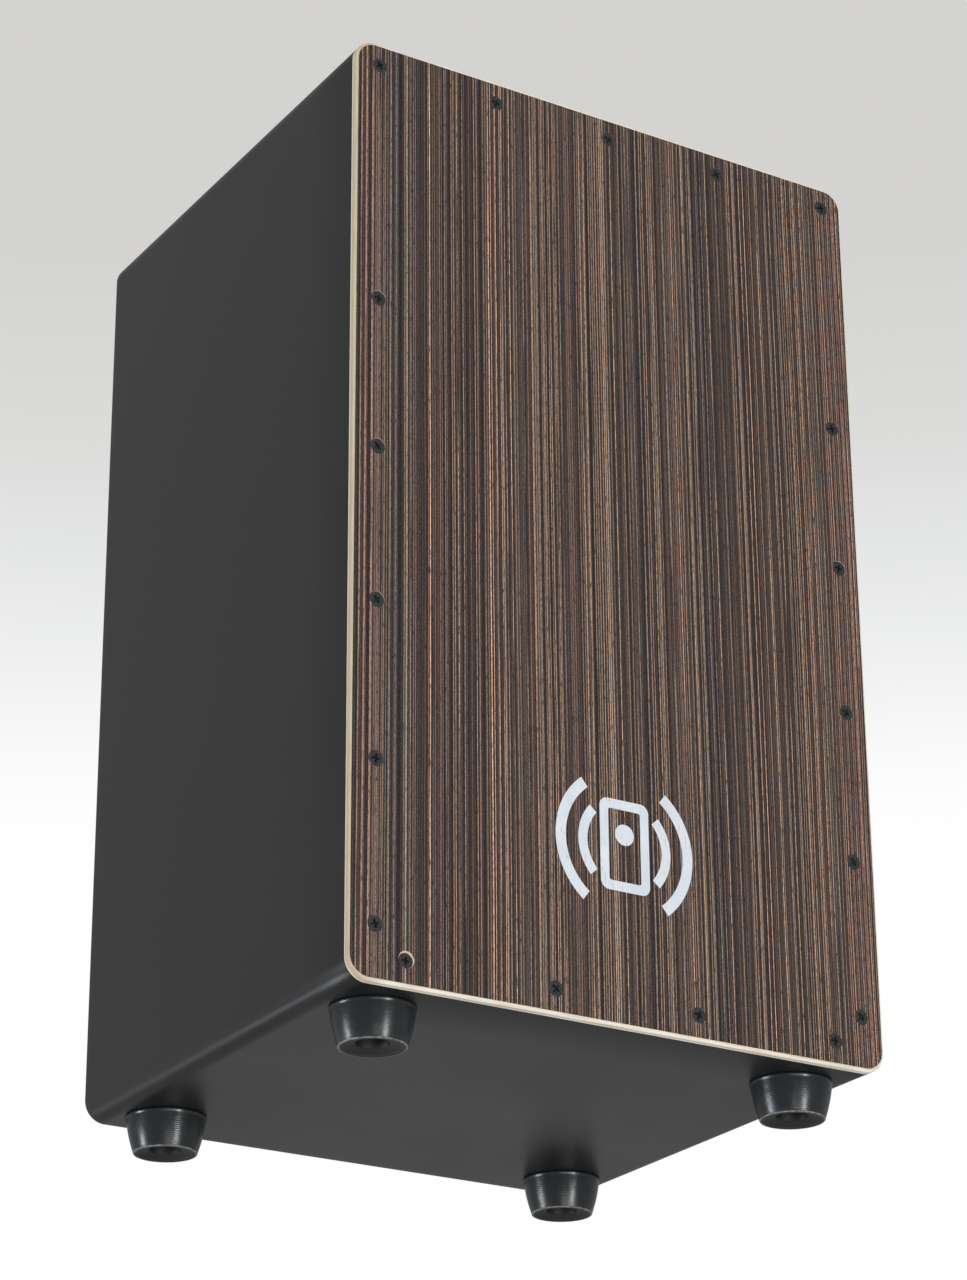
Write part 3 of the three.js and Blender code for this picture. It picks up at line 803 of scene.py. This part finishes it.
def sinks_mesh():
    bm = bmesh.new()
    for node, x, z in screws:
        w, up = fit[node]["wide"], fit[node]["up"]
        turned(
            bm,
            [(0, Y0 - 2), (w, Y0 - 2), (w, Y0 + 0.12), (w - 0.08, Y0 + 0.35), (1.85, Y0 + 0.25 + w - 1.85), (1.85, YB + 2), (0, YB + 2)],
            40,
            "y",
            (x, 0, z + up),
        )
    return to_mesh(bm, "sinks")


def near_screw(p, reach=4.8):
    return any((p.x * 1000 - x) ** 2 + (p.z * 1000 - z) ** 2 < reach**2 for _, x, z in screws)


def plate_core():
    bm = bmesh.new()
    e = EASE
    steps = [(YC + e * (1 - math.cos(a)), e * (1 - math.sin(a))) for a in quarter(7)]
    steps += [(YB - 0.2, 0.0), (YB, 0.2)]
    loft(bm, [[(x, y, z) for x, z in sanded(d)] for y, d in steps])
    me = cut(to_mesh(bm, "core"), sinks_mesh(), "front_plate_core_birch")
    for p in me.polygons:
        if p.normal.y > 0.9:
            p.material_index = 1
        elif near_screw(p.center) and abs(p.normal.y) < 0.95:
            p.material_index = 2
        else:
            p.material_index = 0
    finish_piece("front_plate_core_birch", me, [BIRCH, BIRCH_BACK, SINK], nodes=["front_plate_core"], angle=35)


def plate_veneer():
    bm = bmesh.new()
    steps = [(YC, EASE), (Y0 + 0.18, EASE), (Y0 + 0.05, EASE + 0.06), (Y0, EASE + 0.2)]
    loft(bm, [[(x, y, z) for x, z in sanded(d)] for y, d in steps])
    me = cut(to_mesh(bm, "veneer"), sinks_mesh(), "front_plate_veneer_striped")
    for p in me.polygons:
        p.material_index = 1 if near_screw(p.center) and abs(p.normal.y) < 0.9 else 0
    finish_piece("front_plate_veneer_striped", me, [VENEER, SINK], nodes=["front_plate_veneer"], angle=30)


plate_core()
plate_veneer()


def cross_screw_mesh(name, head_r, shank_r, length, head_profile, point=4.0, thread=True, axis="y"):
    """Screw along +Y from its head at y = 0, with a cross recess and a rolled thread."""
    bm = bmesh.new()
    turned(bm, head_profile + [(shank_r, length - point), (shank_r * 0.55, length - point * 0.45), (0, length)], 48, axis)
    body = to_mesh(bm, name)
    bm = bmesh.new()
    w, l, d = head_r * 0.15, head_r * 0.56, head_r * 0.5
    for k in range(2):
        a = [(-l, -w), (l, -w), (l, w), (-l, w)]
        b = [(-l * 0.42, -w * 0.6), (l * 0.42, -w * 0.6), (l * 0.42, w * 0.6), (-l * 0.42, w * 0.6)]
        if k:
            a = [(-v, u) for u, v in a]
            b = [(-v, u) for u, v in b]
        s = [(u * 1.02, v * 1.02) for u, v in a]
        loft(bm, [[(u, -1.2, v) for u, v in s], [(u, 0, v) for u, v in a], [(u, d, v) for u, v in b]])
    # The two blades are cut one after the other.
    blades = to_mesh(bm, name + "_blades")
    b2 = bmesh.new()
    b2.from_mesh(blades)
    parts = []
    seen = set()
    for f in b2.faces:
        if f.index in seen:
            continue
        stack, island = [f], []
        seen.add(f.index)
        while stack:
            g = stack.pop()
            island.append(g.index)
            for e in g.edges:
                for h in e.link_faces:
                    if h.index not in seen:
                        seen.add(h.index)
                        stack.append(h)
        parts.append(set(island))
    b2.free()
    for i, keep in enumerate(parts):
        b3 = bmesh.new()
        b3.from_mesh(blades)
        bmesh.ops.delete(b3, geom=[f for f in b3.faces if f.index not in keep], context="FACES")
        body = cut(body, to_mesh(b3, f"{name}_blade_{i}"), f"{name}_{i}")
    if thread:
        bm = bmesh.new()
        bm.from_mesh(body)
        pitch, depth, n = shank_r * 0.8, shank_r * 0.16, 16
        start, end = head_profile[-1][1] + 2.5, length - point * 0.7
        turns = int((end - start) / pitch)
        prev = None
        for k in range(turns * n + 1):
            t = k / n
            a = 2 * math.pi * t
            y = start + t * pitch
            grow = min(1.0, t, (turns - t))
            r = shank_r * (1 if y < length - point else max(0.5, (length - y) / point))
            ring = []
            for rr, dy in ((r * 0.9, -pitch * 0.3), (r + depth * grow, 0.0), (r * 0.9, pitch * 0.3)):
                ring.append(bm.verts.new(Vector((rr * math.cos(a), y + dy, rr * math.sin(a))) * MM))
            if prev:
                for i in range(3):
                    j = (i + 1) % 3
                    bm.faces.new((prev[i], prev[j], ring[j], ring[i]))
            else:
                bm.faces.new(ring)
            prev = ring
        bm.faces.new(list(reversed(prev)))
        bm.normal_update()
        out = bpy.data.meshes.new(name)
        bm.to_mesh(out)
        bm.free()
        body = out
    body.name = name
    return body


HEAD = 3.8
plate_screw = cross_screw_mesh(
    "plate_screw_mesh",
    HEAD,
    1.5,
    21.6,
    [(0, 0.02), (HEAD - 0.5, 0.0), (HEAD - 0.16, 0.03), (HEAD, 0.16), (HEAD - 0.05, 0.34), (1.7, 2.4), (1.5, 2.9)],
)
plate_screw.materials.append(SCREW)
for p in plate_screw.polygons:
    p.use_smooth = True
plate_screw.set_sharp_from_angle(angle=math.radians(32))
for node, x, z in screws:
    o = bpy.data.objects.new(node + "_cross_head", plate_screw)
    bpy.context.scene.collection.objects.link(o)
    f = fit[node]
    o.matrix_world = (
        Matrix.Translation(Vector((x, Y0 + f["sink"], z)) * MM)
        @ Matrix.Rotation(math.radians(f["tilt"][0]), 4, "X")
        @ Matrix.Rotation(math.radians(f["tilt"][1]), 4, "Z")
        @ Matrix.Rotation(f["turn"], 4, "Y")
        @ Matrix.Diagonal((f["grow"], 1.0, f["grow"], 1.0))
    )
    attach(o, CASE)
    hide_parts(node)


# ---------------------------------------------------------------------- emblem
def emblem():
    """A plain printed pictogram: an upright box drum with its hole between sound waves."""
    bm = bmesh.new()
    y = Y0 - 0.02
    t = 0.05
    cz = Z0 + 87.5

    def band(outer, inner, closed=True):
        n = len(outer)
        loops = []
        for pts, yy in ((outer, y), (outer, y - t), (inner, y - t), (inner, y)):
            loops.append([bm.verts.new(Vector((px, yy, cz + pz)) * MM) for px, pz in pts])
        last = n if closed else n - 1
        for a, b in zip(loops, loops[1:] + loops[:1]):
            for i in range(last):
                j = (i + 1) % n
                bm.faces.new((a[i], a[j], b[j], b[i]))
        if not closed:
            bm.faces.new([l[0] for l in loops])
            bm.faces.new([l[-1] for l in reversed(loops)])

    def rrect(w, h, r, n=8):
        q = math.pi / 2
        return (
            arc(w - r, -h + r, r, -q, 0, n)
            + arc(w - r, h - r, r, 0, q, n)
            + arc(-w + r, h - r, r, q, 2 * q, n)
            + arc(-w + r, -h + r, r, 2 * q, 3 * q, n)
        )

    band(rrect(13.6, 22.5, 4.4), rrect(8.8, 17.7, 1.2))
    # The hole.
    disc = [(5.2 * math.cos(2 * math.pi * k / 40), 5.5 + 5.2 * math.sin(2 * math.pi * k / 40)) for k in range(40)]
    a = [bm.verts.new(Vector((px, y, cz + pz)) * MM) for px, pz in disc]
    b = [bm.verts.new(Vector((px, y - t, cz + pz)) * MM) for px, pz in disc]
    for i in range(40):
        j = (i + 1) % 40
        bm.faces.new((a[i], a[j], b[j], b[i]))
    bm.faces.new(a)
    bm.faces.new(list(reversed(b)))
    for side in (0, math.pi):
        for r0, r1, half in ((20.6, 25.6, 42), (32.4, 38.0, 52)):
            h = math.radians(half)
            outer = arc(0, 0, r1, side - h, side + h, 40)
            inner = arc(0, 0, r0, side - h, side + h, 40)
            band(outer, inner, closed=False)
    finish_piece("printed_drum_pictogram", to_mesh(bm, "printed_drum_pictogram"), [INK], angle=30)


emblem()


# ------------------------------------------------------------------------ feet
def foot_mesh():
    bm = bmesh.new()
    top, low = 19.55, 15.75
    prof = [(2.4, 10.0), (7.5, 10.0), (7.7, 10.2), (7.7, 2.6), (7.95, 2.05), (8.6, 1.72)]
    prof += [(12.55, 0.85), (12.95, 0.5), (13.15, 0.16), (13.4, 0.0), (15.1, 0.0), (15.5, 0.08), (15.7, 0.26), (low + 0.02, 0.5)]
    n = 26
    z0, z1 = 0.7, FOOT - 2.1
    for k in range(n + 1):
        t = k / n
        prof.append((low + 0.05 + (top - 0.12 - low) * t + 0.42 * math.sin(math.pi * t), z0 + (z1 - z0) * t))
    # A small lip flares out under the top rim.
    prof += [(top + 0.04, FOOT - 1.75), (top + 0.20, FOOT - 1.4), (top + 0.27, FOOT - 1.05), (top + 0.24, FOOT - 0.7)]
    prof += [(top + 0.08, FOOT - 0.35), (top - 0.3, FOOT - 0.12), (top - 1.1, FOOT - 0.03), (2.4, FOOT - 0.03)]
    loops = turned(bm, prof, 96, "z")
    a, b = loops[-1], loops[0]
    for i in range(96):
        j = (i + 1) % 96
        bm.faces.new((a[i], a[j], b[j], b[i]))
    me = to_mesh(bm, "foot_mesh")
    me.materials.append(RUBBER)
    for p in me.polygons:
        p.use_smooth = True
    me.set_sharp_from_angle(angle=math.radians(50))
    return me


fm = foot_mesh()
fs = cross_screw_mesh(
    "foot_screw_mesh",
    4.0,
    1.9,
    20.0,
    [(0, 0.0), (2.2, 0.12), (3.3, 0.6), (3.9, 1.3), (4.0, 2.0), (3.9, 2.45), (1.9, 2.5)],
)
fs.materials.append(ZINC)
for p in fs.polygons:
    p.use_smooth = True
fs.set_sharp_from_angle(angle=math.radians(35))


def washer_mesh():
    bm = bmesh.new()
    loops = turned(bm, [(2.5, 9.85), (2.4, 9.75), (2.4, 9.0), (2.5, 8.9), (6.6, 8.9), (6.75, 9.0), (6.75, 9.75), (6.6, 9.85)], 48, "z")
    a, b = loops[-1], loops[0]
    for i in range(48):
        j = (i + 1) % 48
        bm.faces.new((a[i], a[j], b[j], b[i]))
    me = to_mesh(bm, "washer_mesh")
    me.materials.append(ZINC)
    for p in me.polygons:
        p.use_smooth = True
    me.set_sharp_from_angle(angle=math.radians(30))
    return me


wm = washer_mesh()
for fr in ("front", "rear"):
    for lr in ("left", "right"):
        lo, hi = mmbox(f"foot_{fr}_{lr}")
        cx, cy = (lo[0] + hi[0]) / 2, (lo[1] + hi[1]) / 2
        spin = Matrix.Rotation(rng.uniform(0, 6.28), 4, "Z")
        for suffix, mesh, node, slot, extra in (
            ("rubber", fm, f"foot_{fr}_{lr}", "black_rubber", Matrix.Identity(4)),
            ("plain", wm, f"foot_washer_{fr}_{lr}", "zinc_steel", Matrix.Identity(4)),
            ("pan_head", fs, f"foot_screw_{fr}_{lr}", "zinc_steel", Matrix.Translation((0, 0, 6.4 * MM)) @ Matrix.Rotation(math.pi / 2, 4, "X")),
        ):
            o = bpy.data.objects.new(f"{node}_{suffix}", mesh)
            bpy.context.scene.collection.objects.link(o)
            o.matrix_world = Matrix.Translation((cx * MM, cy * MM, 0)) @ spin @ extra
            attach(o, CASE)
            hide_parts(node)


# ----------------------------------------------------------------------- snare
def snare_sets():
    coil_r, wire_r, pitch = 1.12, 0.17, 1.35
    for side in ("left", "right"):
        lo, hi = mmbox(f"snare_wires_{side}")
        cx = (lo[0] + hi[0]) / 2
        ytop = hi[1]  # face against the bar
        cy = lo[1] + 1.3
        bm = bmesh.new()
        # End strip with rolled long edges.
        x0, x1 = lo[0], hi[0]
        zt = hi[2]
        prof = [(0.0, -14.0), (0.0, 0.0), (-0.5, 0.3), (-1.15, 0.0), (-1.25, -1.0), (-1.1, -2.2), (-1.1, -6.5), (-1.25, -7.4), (-1.25, -13.4), (-0.9, -14.0)]
        loft(bm, [[(xx, ytop + dy, zt + dz) for dy, dz in prof] for xx in (x0, x0 + 0.4, x1 - 0.4, x1)])
        strip = to_mesh(bm, "strip")
        bm = bmesh.new()
        turned(bm, [(0, -130), (1.7, -130), (1.7, -118), (0, -118)], 24, "y", (cx, 0, zt - 3))
        strip = cut(strip, to_mesh(bm, "hole"), "strip_holed")
        bm = bmesh.new()
        bm.from_mesh(strip)
        top, bottom = zt - 8.0, lo[2]
        turns = int((top - bottom) / pitch)
        n, m = 10, 4
        for i in range(10):
            x = cx + (i - 4.5) * 6.0
            prev = None
            for k in range(turns * n + 1):
                a = 2 * math.pi * k / n + i
                z = top - (top - bottom) * k / (turns * n)
                ring = []
                for q in range(m):
                    b = 2 * math.pi * q / m
                    rr = coil_r + wire_r * math.cos(b)
                    ring.append(bm.verts.new(Vector((x + rr * math.cos(a), cy + rr * math.sin(a), z + wire_r * math.sin(b) * 1.2)) * MM))
                if prev:
                    for q in range(m):
                        w = (q + 1) % m
                        bm.faces.new((prev[q], prev[w], ring[w], ring[q]))
                else:
                    bm.faces.new(ring)
                prev = ring
            bm.faces.new(list(reversed(prev)))
        bmesh.ops.recalc_face_normals(bm, faces=bm.faces)
        me = bpy.data.meshes.new(f"snare_wires_{side}_coils")
        bm.to_mesh(me)
        bm.free()
        finish_piece(f"snare_wires_{side}_coils", me, [WIRE], body=SNARE, nodes=[f"snare_wires_{side}"], angle=60)


snare_sets()

small = cross_screw_mesh(
    "snare_screw_mesh",
    2.6,
    1.35,
    13.3,
    [(0, 0.0), (1.5, 0.08), (2.2, 0.35), (2.55, 0.75), (2.5, 1.1), (1.35, 1.15)],
    point=3.0,
)
small.materials.append(ZINC)
for p in small.polygons:
    p.use_smooth = True
small.set_sharp_from_angle(angle=math.radians(35))
for node in ("snare_wire_screw_left", "snare_wire_screw_right", "snare_lever_screw_left", "snare_lever_screw_right"):
    lo, hi = mmbox(node)
    cx, cz = (lo[0] + hi[0]) / 2, (lo[2] + hi[2]) / 2
    o = bpy.data.objects.new(node + "_pan_head", small)
    bpy.context.scene.collection.objects.link(o)
    turn = Matrix.Rotation(rng.uniform(0, 1.5), 4, "Y")
    if "wire" in node:
        o.matrix_world = Matrix.Translation(Vector((cx, lo[1], cz)) * MM) @ turn
    else:
        o.matrix_world = Matrix.Translation(Vector((cx, hi[1], cz)) * MM) @ Matrix.Rotation(math.pi, 4, "Z") @ turn
    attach(o, SNARE)
    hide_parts(node)


# CAD nodes that stay get a finish, and wood gets a broken edge.
def keep(node, material, bevel=0.0, smooth=0.0):
    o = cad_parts[node]
    if not o.material_slots:
        o.data.materials.append(None)
    for s in o.material_slots:
        s.link = "OBJECT"
        s.material = material
    if bevel:
        d = o.modifiers.new("flat", "DECIMATE")
        d.decimate_type, d.angle_limit = "DISSOLVE", math.radians(1.0)
        b = o.modifiers.new("edge", "BEVEL")
        b.width, b.segments, b.limit_method, b.angle_limit = bevel * MM, 2, "ANGLE", math.radians(50)
        b.harden_normals = False


for end in ("front", "rear"):
    for pos in ("left", "right"):
        keep(f"{end}_batten_{pos}", PINE_Z, 0.5)
    for pos in ("top", "bottom"):
        keep(f"{end}_batten_{pos}", PINE_X, 0.5)
keep("snare_bar", BEECH, 0.8)
keep("snare_bearing_block_left", BEECH, 0.8)
keep("snare_bearing_block_right", BEECH, 0.8)
keep("snare_shaft", ZINC)
keep("snare_lever", ZINC, 0.35)
keep("snare_lever_grip", GRIP, 1.2)
keep("snare_friction_washer_left", FELT)
keep("snare_friction_washer_right", FELT)


# ----------------------------------------------------------------------- stage
def stage_floor():
    """A plain pale floor under the feet. It is seen only from above, because the
    photograph looks up at the drum from below the level of its feet."""
    me = bpy.data.meshes.new("studio_floor")
    s = 9.0
    z = -0.0006
    me.from_pydata([(-s, -s, z), (s, -s, z), (s, s, z), (-s, s, z)], [], [(0, 1, 2, 3)])
    o = bpy.data.objects.new("studio_floor", me)
    bpy.context.scene.collection.objects.link(o)
    mat = bpy.data.materials.new("studio_floor_paper")
    mat.use_nodes = True
    t = mat.node_tree
    t.nodes.clear()
    out = t.nodes.new("ShaderNodeOutputMaterial")
    mixn = t.nodes.new("ShaderNodeMixShader")
    dif = t.nodes.new("ShaderNodeBsdfDiffuse")
    dif.inputs["Color"].default_value = (0.86, 0.86, 0.855, 1)
    # The paper glows a little, and more with distance, so that it meets the
    # studio's white without a line.
    glow = t.nodes.new("ShaderNodeEmission")
    here = t.nodes.new("ShaderNodeTexCoord")
    far = t.nodes.new("ShaderNodeVectorMath")
    far.operation = "LENGTH"
    t.links.new(here.outputs["Object"], far.inputs[0])
    fall = t.nodes.new("ShaderNodeMapRange")
    fall.inputs["From Min"].default_value = 0.6
    fall.inputs["From Max"].default_value = 4.5
    fall.inputs["To Min"].default_value = 0.33
    fall.inputs["To Max"].default_value = 1.0
    t.links.new(far.outputs["Value"], fall.inputs["Value"])
    t.links.new(fall.outputs["Result"], glow.inputs["Strength"])
    paper = t.nodes.new("ShaderNodeAddShader")
    t.links.new(dif.outputs[0], paper.inputs[0])
    t.links.new(glow.outputs[0], paper.inputs[1])
    tra = t.nodes.new("ShaderNodeBsdfTransparent")
    geo = t.nodes.new("ShaderNodeNewGeometry")
    t.links.new(geo.outputs["Backfacing"], mixn.inputs[0])
    t.links.new(paper.outputs[0], mixn.inputs[1])
    t.links.new(tra.outputs[0], mixn.inputs[2])
    t.links.new(mixn.outputs[0], out.inputs[0])
    me.materials.append(mat)
    # It takes light and shadow, and neither blocks nor colours what lights the drum.
    o.visible_diffuse = False
    o.visible_glossy = False
    o.visible_transmission = False
    o.visible_shadow = False
    o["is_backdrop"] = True


stage_floor()


def studio_world():
    w = bpy.data.worlds.new("studio_world")
    bpy.context.scene.world = w
    w.use_nodes = True
    t = w.node_tree
    t.nodes.clear()
    out = t.nodes.new("ShaderNodeOutputWorld")
    co = t.nodes.new("ShaderNodeTexCoord")
    sep = t.nodes.new("ShaderNodeSeparateXYZ")
    t.links.new(co.outputs["Generated"], sep.inputs[0])
    half = t.nodes.new("ShaderNodeMath")
    half.operation = "MULTIPLY_ADD"
    half.inputs[1].default_value = 0.5
    half.inputs[2].default_value = 0.5
    t.links.new(sep.outputs["Z"], half.inputs[0])

    def ramp(stops):
        n = t.nodes.new("ShaderNodeValToRGB")
        e = n.color_ramp.elements
        while len(e) > 1:
            e.remove(e[-1])
        for i, (p, c) in enumerate(stops):
            el = e[0] if i == 0 else e.new(p)
            el.position = p
            el.color = c
        t.links.new(half.outputs[0], n.inputs[0])
        return n.outputs[0]

    seen = t.nodes.new("ShaderNodeBackground")
    sky = [
        (0.0, srgb(254, 255, 254)),
        (0.674, srgb(254, 255, 254)),
        (0.6837, srgb(249, 250, 249)),
        (0.6913, srgb(243, 244, 243)),
        (0.69885, srgb(237, 238, 238)),
        (0.70635, srgb(231.5, 233, 232)),
        (0.7126, srgb(227, 229, 228)),
        (0.71875, srgb(223, 223, 223)),
        (0.72485, srgb(219, 219, 217)),
        (0.7381, srgb(214.5, 214.5, 213)),
        (0.7465, srgb(212, 211, 209)),
        (1.0, srgb(211, 210, 208)),
    ]
    t.links.new(ramp(sky), seen.inputs[0])
    seen.inputs[1].default_value = 1.0
    lamp = t.nodes.new("ShaderNodeBackground")
    t.links.new(ramp([(0.0, (0.20, 0.203, 0.207, 1)), (0.23, (0.22, 0.223, 0.228, 1)), (0.33, (0.425, 0.429, 0.434, 1)), (0.42, (0.42, 0.425, 0.43, 1)), (0.60, (0.355, 0.358, 0.363, 1)), (1.0, (0.39, 0.39, 0.39, 1))]), lamp.inputs[0])
    lamp.inputs[1].default_value = 1.0
    path = t.nodes.new("ShaderNodeLightPath")
    mixn = t.nodes.new("ShaderNodeMixShader")
    t.links.new(path.outputs["Is Camera Ray"], mixn.inputs[0])
    t.links.new(lamp.outputs[0], mixn.inputs[1])
    t.links.new(seen.outputs[0], mixn.inputs[2])
    t.links.new(mixn.outputs[0], out.inputs[0])


studio_world()


def softbox(name, azimuth, elevation, distance, size, power, target=(0, 0, 0.25), colour=(1, 1, 1)):
    """Area light on a bearing: 0 is in front of the plate, positive towards +X."""
    a, e = math.radians(azimuth), math.radians(elevation)
    d = Vector((math.sin(a) * math.cos(e), -math.cos(a) * math.cos(e), math.sin(e)))
    data = bpy.data.lights.new(name, "AREA")
    data.shape = "RECTANGLE"
    data.size, data.size_y = size
    data.energy = power
    data.color = colour
    o = bpy.data.objects.new(name, data)
    bpy.context.scene.collection.objects.link(o)
    o.location = Vector(target) + d * distance
    o.rotation_mode = "QUATERNION"
    o.rotation_quaternion = d.to_track_quat("Z", "Y")
    o.visible_camera = False
    return o


softbox("softbox_left", -110, -15, 2.6, (0.56, 0.62), 24, target=(0, 0, 0.01), colour=(0.90, 0.94, 1.0))
softbox("softbox_front_right", 7.5, -17, 2.6, (0.46, 0.62), 17, target=(0, 0, 0.01))
softbox("softbox_key", -30, 40, 2.8, (2.0, 2.0), 25)
softbox("fill_low_front", -12, -36, 2.6, (1.6, 1.0), 20, target=(0, -0.13, 0.2))
# Two weak lamps for the inside: one behind the sound hole, one just within the
# rear panel. Neither reaches the outside of the front, the left side or the foot.
softbox("lamp_inside", 180, 0, 0.001, (0.16, 0.30), 0.12, target=(0, 0.095, 0.25))
into_hole = softbox("lamp_into_sound_hole", 180, 3, 1.0, (0.05, 0.05), 0.0028, target=(0, 0.13, 0.3485))
into_hole.data.spread = math.radians(6.5)
softbox("kicker_edge", -156.4, -25.6, 1.35, (0.16, 0.16), 0.5, target=(-0.143, -0.10, 0.022), colour=(0.92, 0.95, 1.0))
softbox("kicker_corner", -152.5, -29.8, 0.08, (0.016, 0.016), 0.0055, target=(-0.143, -0.129, 0.022), colour=(0.90, 0.94, 1.0))


# ---------------------------------------------------------------------- camera
cam = bpy.data.cameras.new("photo_camera")
cam_o = bpy.data.objects.new("photo_camera", cam)
bpy.context.scene.collection.objects.link(cam_o)
cam.sensor_fit = "AUTO"
cam.sensor_width = 36.0
cam.lens = 101.8949
cam.clip_start, cam.clip_end = 0.05, 60.0
m = Matrix(
    (
        (0.85189316, -0.20455777, -0.48211426),
        (-0.5236773, -0.34385024, -0.77944153),
        (-0.00633428, 0.9164732, -0.40004593),
    )
)
cam_o.matrix_world = Matrix.Translation((-0.88363, -1.43762, -0.47679)) @ m.to_4x4()
bpy.context.scene.camera = cam_o

bpy.context.scene.view_settings.view_transform = "Standard"
bpy.context.scene.view_settings.look = "None"
bpy.context.scene.view_settings.exposure = 0.0
bpy.context.scene.view_settings.gamma = 1.0

lo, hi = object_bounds()
